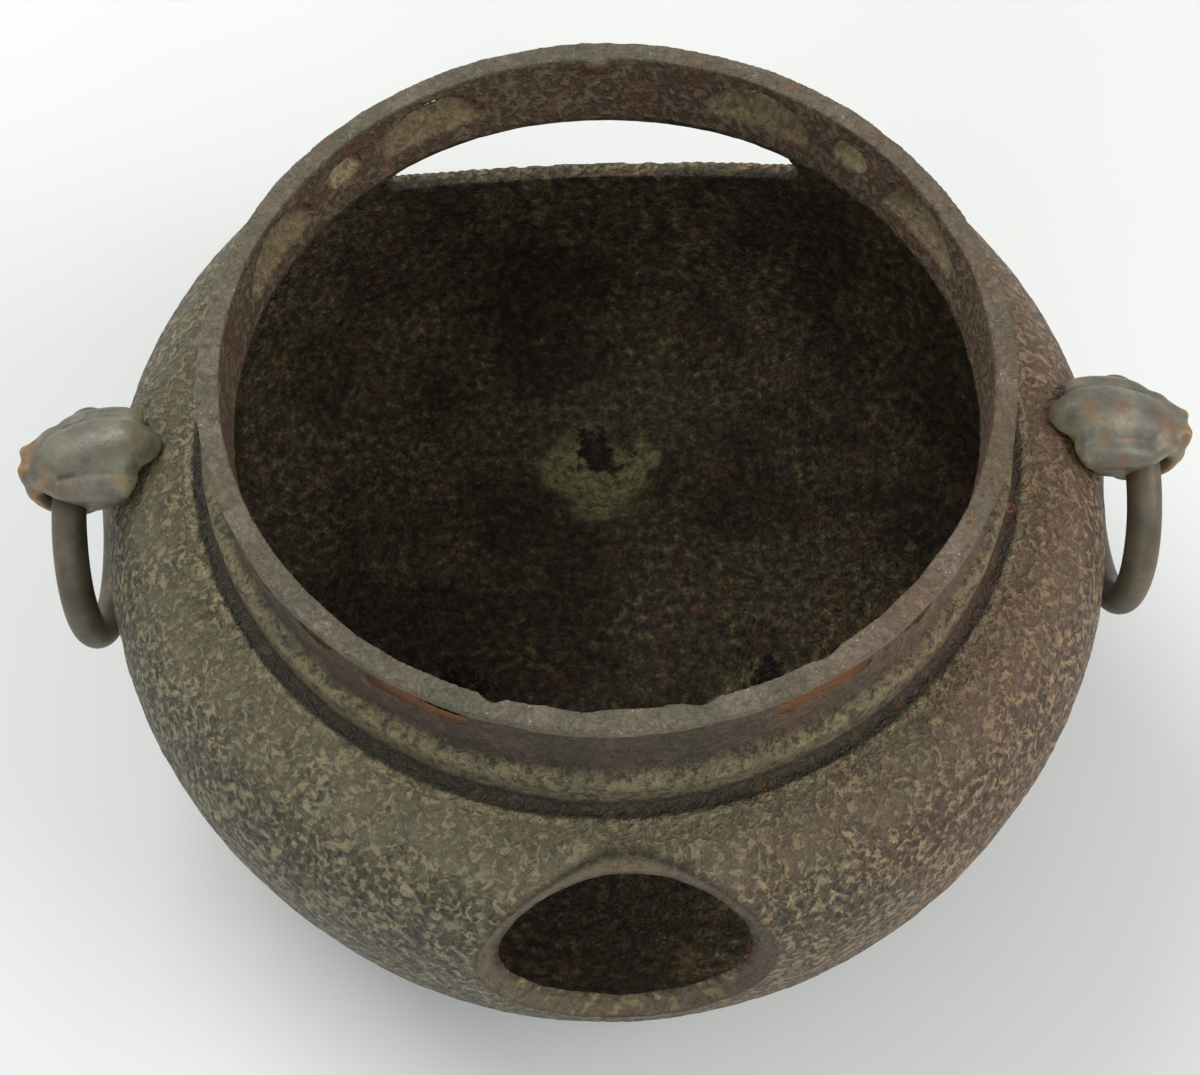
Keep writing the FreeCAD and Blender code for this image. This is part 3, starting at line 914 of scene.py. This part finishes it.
def ringMesh():
    # a torus in the YZ plane that hangs from the hinge line
    radius = form["ringRadius"]
    around = ringLook["around"]
    across = ringLook["across"]
    corners = []
    faces = []
    for i in range(around):
        turn = 2 * math.pi * i / around
        out = Vector((0, math.sin(turn), math.cos(turn)))
        thick = form["ringWire"] * ringThickness(turn)
        for j in range(across):
            roll = 2 * math.pi * j / across
            corner = out * (radius + thick * math.cos(roll)) + Vector((thick * math.sin(roll), 0, 0))
            corners.append(corner + Vector((form["hingeX"], 0, form["hingeZ"] - radius)))
            a, b = (i + 1) % around, (j + 1) % across
            faces.append((i * across + j, i * across + b, a * across + b, a * across + j))
    mesh = bpy.data.meshes.new("ringRight")
    mesh.from_pydata(corners, [], faces)
    mesh.update()
    return mesh


def makeRings():
    material = ringIron()
    mesh = ringMesh()
    right = newPiece("ringRight", mesh, "ring_right", "ring_right")
    left = newPiece("ringLeft", mesh.copy(), "ring_left", "ring_left")
    left.data.transform(Matrix.Rotation(math.pi, 4, "Z"))
    for ring in (right, left):
        shadeSmooth(ring.data)
        ring.data.materials.append(material)


makeRings()
print("rings made")

# Feet

footLook = {
    "voxel": 0.9 * mm,
    "smoothing": 4,
    "grainSize": 3 * mm,
    "grainDepth": 0.4 * mm,
    "spigotRadius": 24 * mm,
    "spigotTop": 26.5 * mm,
    "wearAndShadeRounds": 8,
}


def footIron():
    material, start, place = newMaterial("footIron")
    wear, = attributes(start, "wear")
    cloud = place.noise(60, 4.0, 0.6)
    grain = place.noise(420, 3.0, 0.6)
    base = cloud.ramp([(0.3, colour(56, 50, 40)), (0.5, colour(86, 76, 58)), (0.7, colour(120, 104, 78))])
    base = base.towards(colour(140, 120, 90), wear.rise(0.05, 0.5) * 0.5)
    bump = start.node("ShaderNodeBump", {}, {"Strength": 0.6, "Distance": 0.5 * mm, "Height": grain})
    finishMaterial(start, {"Base Color": base, "Roughness": 0.6 + grain * 0.15, "Normal": bump})
    return material


def lowerSpigot(foot):
    # the bowl's own skin sags into the foot, so the spigot under it ends lower
    places = points(foot.data)
    low, high = places.min(0), places.max(0)
    away = np.hypot(places[:, 0] - (low[0] + high[0]) / 2, places[:, 1] - (low[1] + high[1]) / 2)
    spigot = (away < footLook["spigotRadius"]) & (places[:, 2] > footLook["spigotTop"])
    places[:, 2] = np.where(spigot, footLook["spigotTop"], places[:, 2])
    setPoints(foot.data, places)


def makeFeet():
    material = footIron()
    for side in form["footAzimuths"]:
        node = "foot_" + side
        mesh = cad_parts[node].data.copy()
        foot = newPiece("foot" + side.capitalize(), mesh, "brazier", node)
        foot.data.materials.clear()
        voxelSkin(foot, footLook["voxel"], footLook["smoothing"])
        lowerSpigot(foot)
        displace(foot, footLook["grainSize"], footLook["grainDepth"])
        applyModifiers(foot)
        addWearAndCreaseShade(foot.data, footLook["wearAndShadeRounds"])
        shadeSmooth(foot.data)
        foot.data.materials.append(material)


makeFeet()
print("feet made")

# Floor, world and lamps

stageLook = {
    "floor": (226, 229, 228),
    "floorCloud": 3,
    "floorSize": 6.0,
    "aim": (0, 0, 0.1),
    "ambient": 0.55,
    "backdrop": 0.80,
    # lamps: place, size, power and colour
    "lamps": [((0.9, -0.9, 1.7), 1.4, 26, (1.0, 0.98, 0.95)),
              ((-1.3, 0.5, 1.2), 1.2, 14, (1.0, 0.96, 0.92)),
              ((0.3, 1.7, 0.9), 1.2, 7, (0.95, 0.98, 1.0))],
}


def makeFloor():
    mesh = bpy.data.meshes.new("floor")
    half = stageLook["floorSize"] / 2
    corners = [(-half, -half, 0), (half, -half, 0), (half, half, 0), (-half, half, 0)]
    mesh.from_pydata(corners, [], [(0, 1, 2, 3)])
    floor = bpy.data.objects.new("floor", mesh)
    scene.collection.objects.link(floor)
    material, start, place = newMaterial("floorPaint")
    cloud = place.noise(3, 2.0, 0.5)
    darker = [value - stageLook["floorCloud"] for value in stageLook["floor"]]
    base = cloud.ramp([(0.35, colour(*stageLook["floor"])), (0.65, colour(*darker))])
    finishMaterial(start, {"Base Color": base, "Roughness": 0.8, "Specular IOR Level": 0.2})
    mesh.materials.append(material)


def makeWorld():
    # the backdrop that the camera sees is brighter than the light that the world gives
    world = bpy.data.worlds.new("studio")
    scene.world = world
    world.use_nodes = True
    world.node_tree.nodes.clear()
    start = Shade(world.node_tree)
    path = start.node("ShaderNodeLightPath", {}, {}, "Is Camera Ray")
    seen = path.most(path.output("Is Glossy Ray") * 0.6).most(path.output("Is Transmission Ray"))
    strength = seen * (stageLook["backdrop"] - stageLook["ambient"]) + stageLook["ambient"]
    sky = start.node("ShaderNodeBackground", {}, {"Color": (0.98, 0.99, 1.0, 1.0), "Strength": strength})
    end = world.node_tree.nodes.new("ShaderNodeOutputWorld")
    world.node_tree.links.new(sky.socket, end.inputs["Surface"])


def makeLamps():
    for number, (place, size, power, tint) in enumerate(stageLook["lamps"]):
        lamp = bpy.data.objects.new("lamp%d" % number, bpy.data.lights.new("lamp%d" % number, "AREA"))
        lamp.data.shape = "DISK"
        lamp.data.size = size
        lamp.data.energy = power
        lamp.data.color = tint
        lamp.location = place
        aim = Vector(stageLook["aim"]) - Vector(place)
        lamp.rotation_mode = "QUATERNION"
        lamp.rotation_quaternion = aim.to_track_quat("-Z", "Y")
        scene.collection.objects.link(lamp)


makeFloor()
makeWorld()
makeLamps()
scene.view_settings.view_transform = "Standard"
print("stage set")
